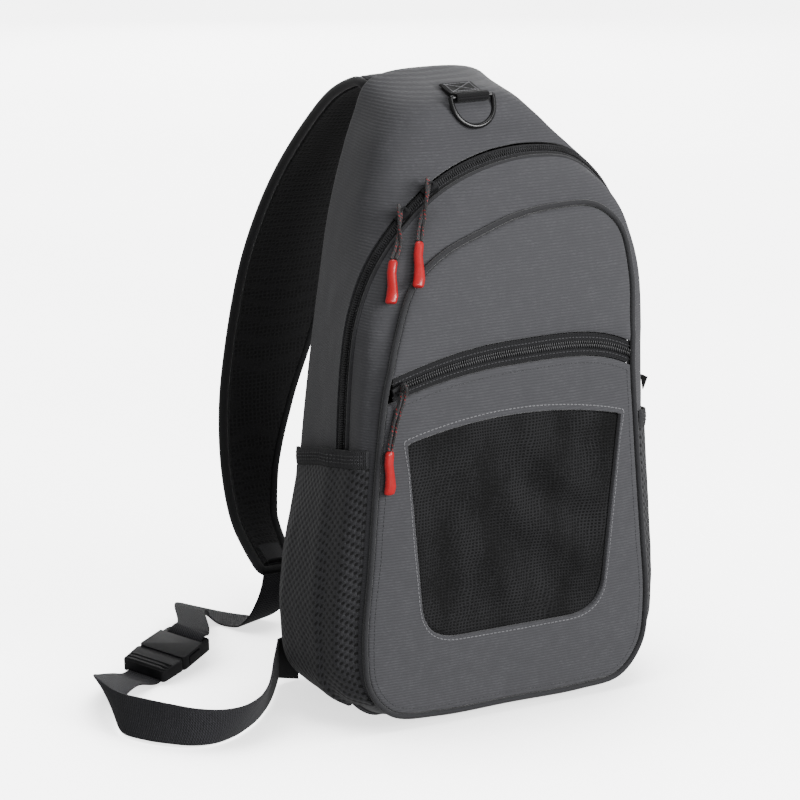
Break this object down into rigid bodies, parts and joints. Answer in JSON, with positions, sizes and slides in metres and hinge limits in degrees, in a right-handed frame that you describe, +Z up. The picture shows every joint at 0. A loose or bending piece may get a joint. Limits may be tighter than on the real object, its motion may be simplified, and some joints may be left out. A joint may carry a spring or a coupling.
{
  "type": "fishing tackle sling bag",
  "caption": "Soft sling bag with a zipped main compartment, a mesh-windowed front pocket, two stretch side pockets, a padded shoulder strap and a side-release buckle.",
  "frame": {"origin": "middle of the flat base, on the surface that the bag stands on", "axes": "+Z up, -Y to the front pocket, +X to the viewer's right when the front is seen"},
  "size_m": [0.4087, 0.3498, 0.4616],
  "materials": {
    "grey_fabric": "grey woven cloth with fine horizontal ribs",
    "dark_fabric": "darker grey woven cloth",
    "black_mesh": "black knitted mesh",
    "black_elastic": "ribbed black elastic",
    "black_webbing": "ribbed black webbing and binding",
    "black_piping": "black cloth piping",
    "zip_coil": "black nylon coil on a woven tape",
    "black_plastic": "fine moulded texture",
    "black_metal": "black coated metal",
    "cord": "braided black cord with red flecks",
    "red_grip": "red moulded grip"
  },
  "bodies": {
    "bag": {"main_shell": "grey_fabric", "back_pad": "black_mesh", "front_gusset": "dark_fabric", "front_upper_panel": "grey_fabric", "front_lower_panel": "grey_fabric", "mesh_window": "black_mesh", "front_piping": "black_piping", "outer_piping": "black_piping", "main_zip": "zip_coil", "pocket_zip": "zip_coil", "side_pocket_left": "black_mesh", "side_pocket_right": "black_mesh", "pocket_elastic_left": "black_elastic", "pocket_elastic_right": "black_elastic", "d_ring_tab": "black_webbing", "shoulder_strap": "grey_fabric", "strap_lining": "black_mesh", "strap_binding": "black_webbing", "strap_end_patch": "black_webbing", "webbing_upper": "black_webbing", "buckle_female": "black_plastic", "buckle_male": "black_plastic", "webbing_lower": "black_webbing", "anchor_tab": "black_webbing", "side_tab_right": "black_webbing", "slider_main_upper": "black_metal", "slider_main_lower": "black_metal", "slider_pocket": "black_metal", "pull_cord_main_upper": "cord", "pull_grip_main_upper": "red_grip", "pull_cord_main_lower": "cord", "pull_grip_main_lower": "red_grip", "pull_cord_pocket": "cord", "pull_grip_pocket": "red_grip"},
    "d_ring": {"d_ring": "black_metal"}
  },
  "joints": [
    {"name": "d_ring_swing", "type": "hinge", "parent": "bag", "child": "d_ring", "pos_m": [0.0036, -0.0087, 0.4414], "axis": [-1, 0, 0], "range_deg": [0, 200]}
  ]
}
